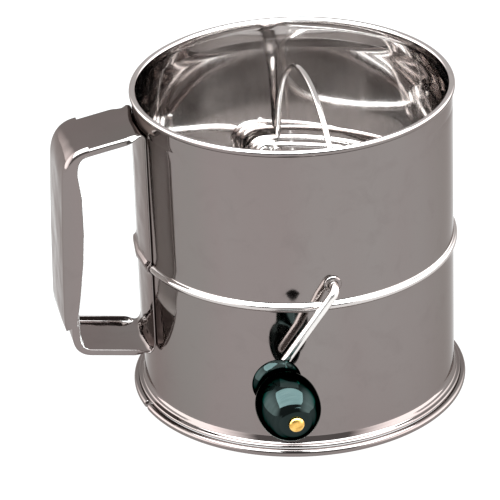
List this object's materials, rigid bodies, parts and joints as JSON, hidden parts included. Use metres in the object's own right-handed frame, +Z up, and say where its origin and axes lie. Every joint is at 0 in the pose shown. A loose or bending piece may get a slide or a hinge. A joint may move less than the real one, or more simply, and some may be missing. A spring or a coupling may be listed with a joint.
{
  "type": "flour sifter",
  "caption": "Round steel kitchen sifter with a woven wire bowl, a wire agitator on a side crank with a turned wooden knob, and a strap handle.",
  "frame": {"origin": "middle of the whole sifter's outline in plan, on the surface that it stands on", "axes": "+Z up along the drum, -X towards the handle, -Y towards the crank knob; the crank shaft lies along Y"},
  "size_m": [0.216, 0.2308, 0.174],
  "materials": {
    "polished_sheet": "mirror-polished stainless steel sheet",
    "steel_wire": "bright drawn steel wire",
    "steel_rod": "bright plated steel rod",
    "woven_wire": "plain-woven stainless steel wire",
    "lacquered_wood": "turned wood under dark bottle-green gloss lacquer",
    "brass_cap": "polished brass"
  },
  "bodies": {
    "sifter_body": {"drum_shell": "polished_sheet", "rim_wire": "steel_wire", "base_ring": "polished_sheet", "sieve_bowl": "woven_wire", "sieve_band": "polished_sheet", "handle_strap": "polished_sheet", "handle_grip": "polished_sheet", "front_bushing": "polished_sheet", "rear_bushing": "polished_sheet"},
    "crank": {"crank_rod": "steel_rod", "front_washer": "polished_sheet", "rear_washer": "polished_sheet", "rear_push_nut": "steel_rod", "agitator_upper_wire": "steel_wire", "agitator_lower_wire": "steel_wire", "agitator_hoop": "steel_wire", "knob_tack": "brass_cap"},
    "knob": {"knob": "lacquered_wood"}
  },
  "joints": [
    {"name": "crank_turn", "type": "hinge", "parent": "sifter_body", "child": "crank", "pos_m": [0.0195, 0.0269, 0.0965], "axis": [0, -1, 0], "continuous": true},
    {"name": "knob_spin", "type": "hinge", "parent": "crank", "child": "knob", "pos_m": [-0.0136, 0.0269, 0.05257], "axis": [0, -1, 0], "continuous": true}
  ]
}
